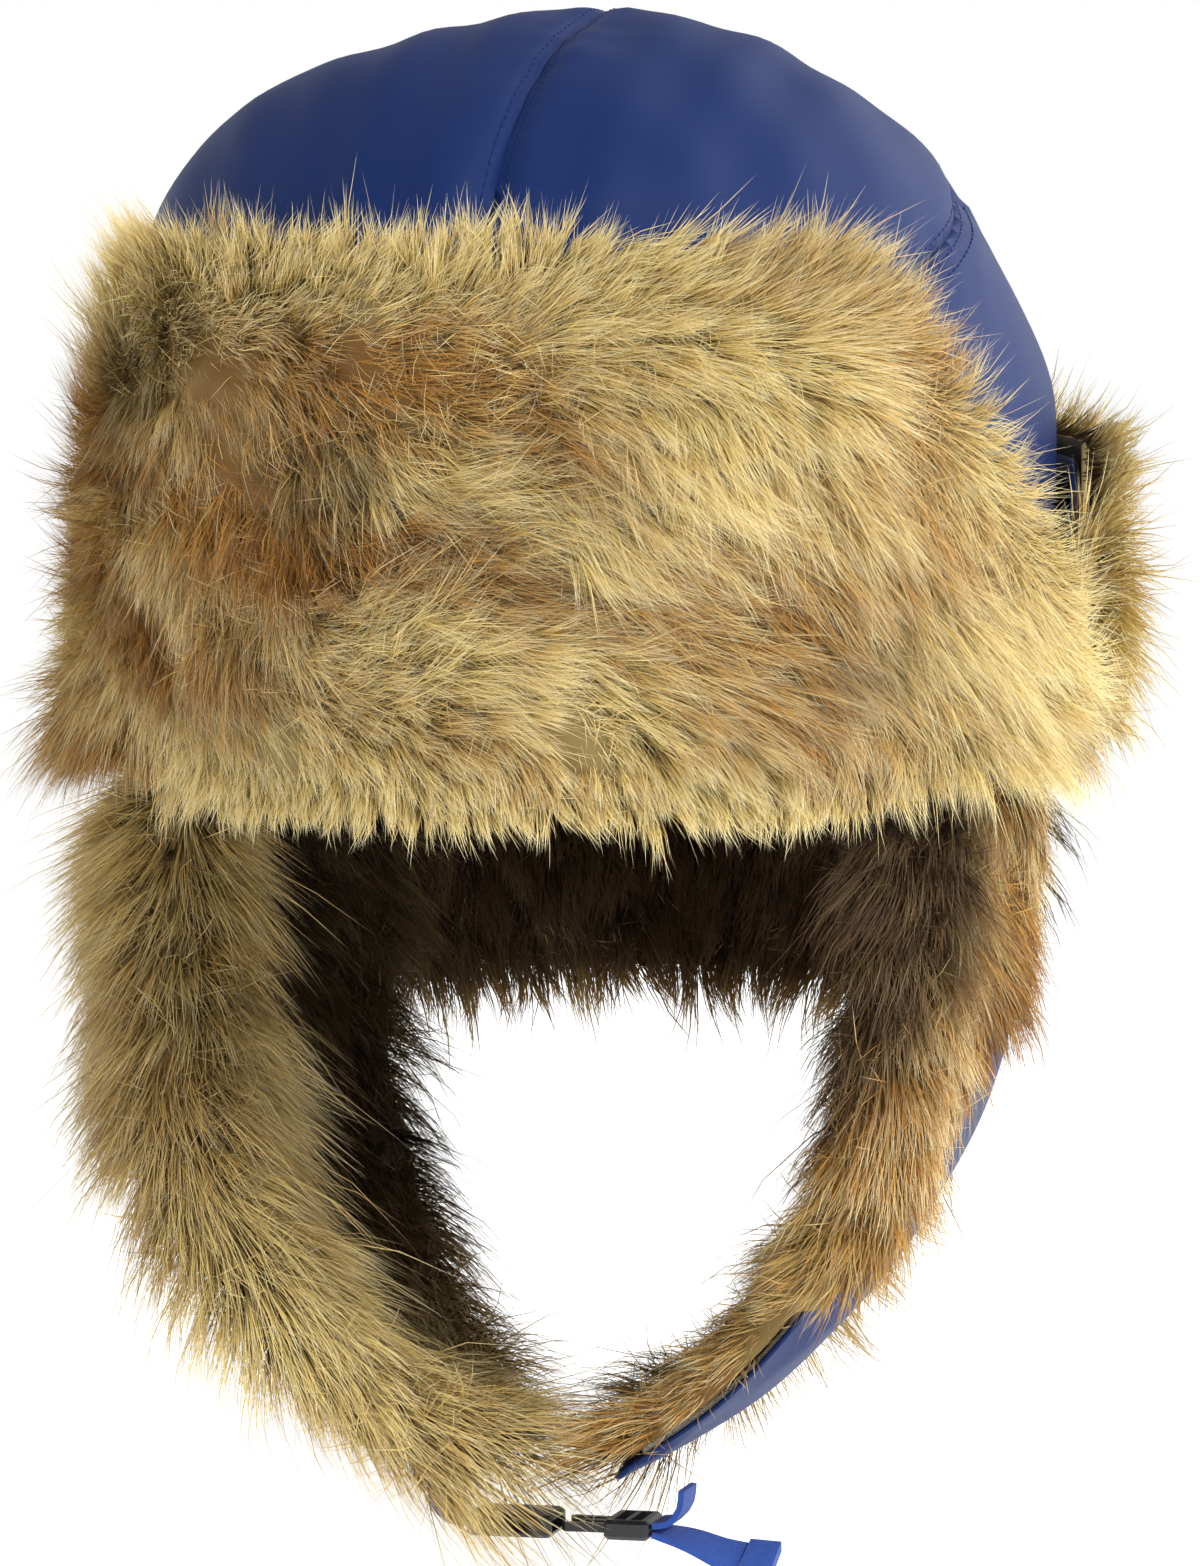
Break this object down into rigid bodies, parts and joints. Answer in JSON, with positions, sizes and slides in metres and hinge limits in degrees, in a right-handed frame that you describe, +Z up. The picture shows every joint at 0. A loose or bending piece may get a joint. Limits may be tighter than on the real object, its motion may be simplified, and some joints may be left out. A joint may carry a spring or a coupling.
{
  "type": "trapper hat",
  "caption": "Padded nylon trapper hat with a turned-up fur front flap, a fur rear cuff, fur-lined ear and neck flaps that fold up, and a chin strap with a side-release buckle.",
  "frame": {"origin": "middle of the head opening, in the plane of the brim seam", "axes": "+Z up through the crown, -Y the way the wearer faces, +X to the wearer's left"},
  "size_m": [0.2384, 0.2706, 0.3462],
  "materials": {
    "nylon": "slightly shiny woven nylon",
    "fur": "long mixed pile, cream to brown",
    "padding": "matt polyester wadding",
    "lining": "smooth quilted lining",
    "webbing": "flat woven nylon webbing",
    "buckle_plastic": "moulded, satin"
  },
  "bodies": {
    "crown": {"crown_front_panel_left": "nylon", "crown_front_panel_right": "nylon", "crown_rear_panel_left": "nylon", "crown_rear_panel_right": "nylon", "crown_padding": "padding", "crown_lining": "lining", "sweatband": "lining", "brim_binding": "nylon", "front_flap_backing": "nylon", "front_flap_fur": "fur", "rear_cuff_backing": "nylon", "rear_cuff_fur": "fur"},
    "ear_flap_left": {"ear_flap_left_shell": "nylon", "ear_flap_left_padding": "padding", "ear_flap_left_fur": "fur", "chin_strap_left_webbing": "webbing", "buckle_plug": "buckle_plastic", "chin_strap_loose_end": "webbing", "chin_strap_end_tab": "webbing"},
    "ear_flap_right": {"ear_flap_right_shell": "nylon", "ear_flap_right_padding": "padding", "ear_flap_right_fur": "fur", "chin_strap_right_webbing": "webbing", "buckle_socket": "buckle_plastic"},
    "neck_flap": {"neck_flap_shell": "nylon", "neck_flap_padding": "padding", "neck_flap_fur": "fur"}
  },
  "joints": [
    {"name": "ear_flap_left_fold", "type": "hinge", "parent": "crown", "child": "ear_flap_left", "pos_m": [0.103, 0, -0.002], "axis": [0, -1, 0], "range_deg": [0, 120]},
    {"name": "ear_flap_right_fold", "type": "hinge", "parent": "crown", "child": "ear_flap_right", "pos_m": [-0.103, 0, -0.002], "axis": [0, 1, 0], "range_deg": [0, 120]},
    {"name": "neck_flap_fold", "type": "hinge", "parent": "crown", "child": "neck_flap", "pos_m": [0, 0.119, -0.002], "axis": [1, 0, 0], "range_deg": [0, 110]}
  ]
}
